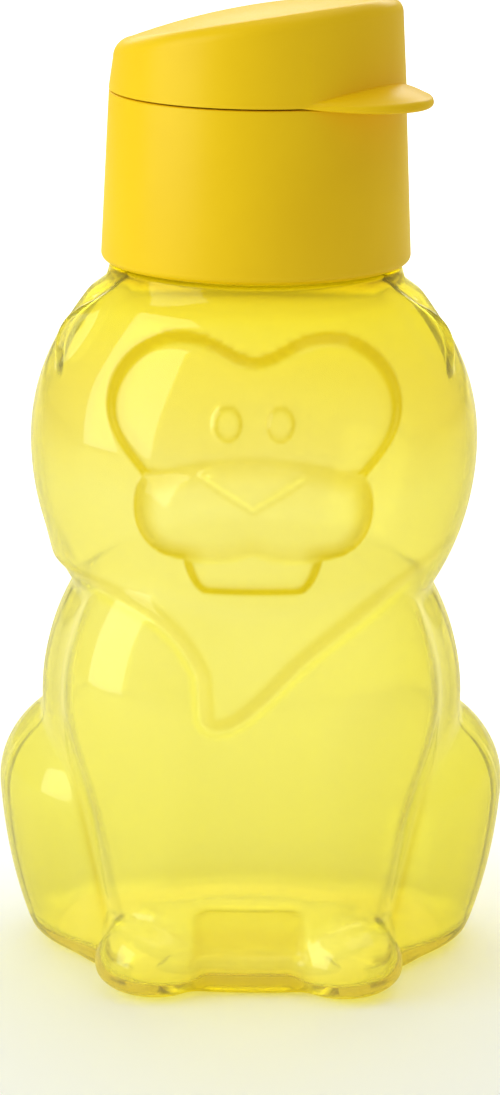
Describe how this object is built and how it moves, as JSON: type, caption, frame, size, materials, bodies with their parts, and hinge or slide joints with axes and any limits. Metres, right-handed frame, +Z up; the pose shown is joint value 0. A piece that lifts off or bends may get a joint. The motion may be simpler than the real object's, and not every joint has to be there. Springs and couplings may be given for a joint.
{
  "type": "lion-shaped bottle",
  "caption": "Drinking bottle shaped as a seated lion, with a translucent body, a screw cap with a spout and a flip lid with a thumb tab.",
  "frame": {"origin": "middle of the base footprint, on the plane the bottle stands on", "axes": "+Z up along the bottle's axis, the lion looks along -Y, +X is the viewer's right"},
  "size_m": [0.0878, 0.0742, 0.167],
  "materials": {
    "body_plastic": "translucent yellow, polished",
    "cap_plastic": "opaque yellow, satin",
    "lid_plastic": "opaque yellow, satin",
    "silicone": "soft silicone",
    "pin_plastic": "opaque yellow"
  },
  "bodies": {
    "bottle": {"bottle_body": "body_plastic"},
    "gasket": {"neck_gasket": "silicone"},
    "cap": {"cap_base": "cap_plastic", "hinge_pin": "pin_plastic"},
    "lid": {"flip_lid": "lid_plastic", "spout_seal": "silicone"}
  },
  "joints": [
    {"name": "cap_lift", "type": "slide", "parent": "bottle", "child": "gasket", "axis": [0, 0, 1], "range_m": [0, 0.006]},
    {"name": "cap_turn", "type": "hinge", "parent": "gasket", "child": "cap", "pos_m": [0, 0, 0.13], "axis": [0, 0, 1], "range_deg": [0, 540]},
    {"name": "lid_flip", "type": "hinge", "parent": "cap", "child": "lid", "pos_m": [-0.02122, 0.01486, 0.15065], "axis": [-0.5736, -0.8192, 0], "range_deg": [0, 130]}
  ],
  "couplings": [
    {"joint": "cap_lift", "follows": "cap_turn", "m_per_rad": 0.0006366}
  ]
}
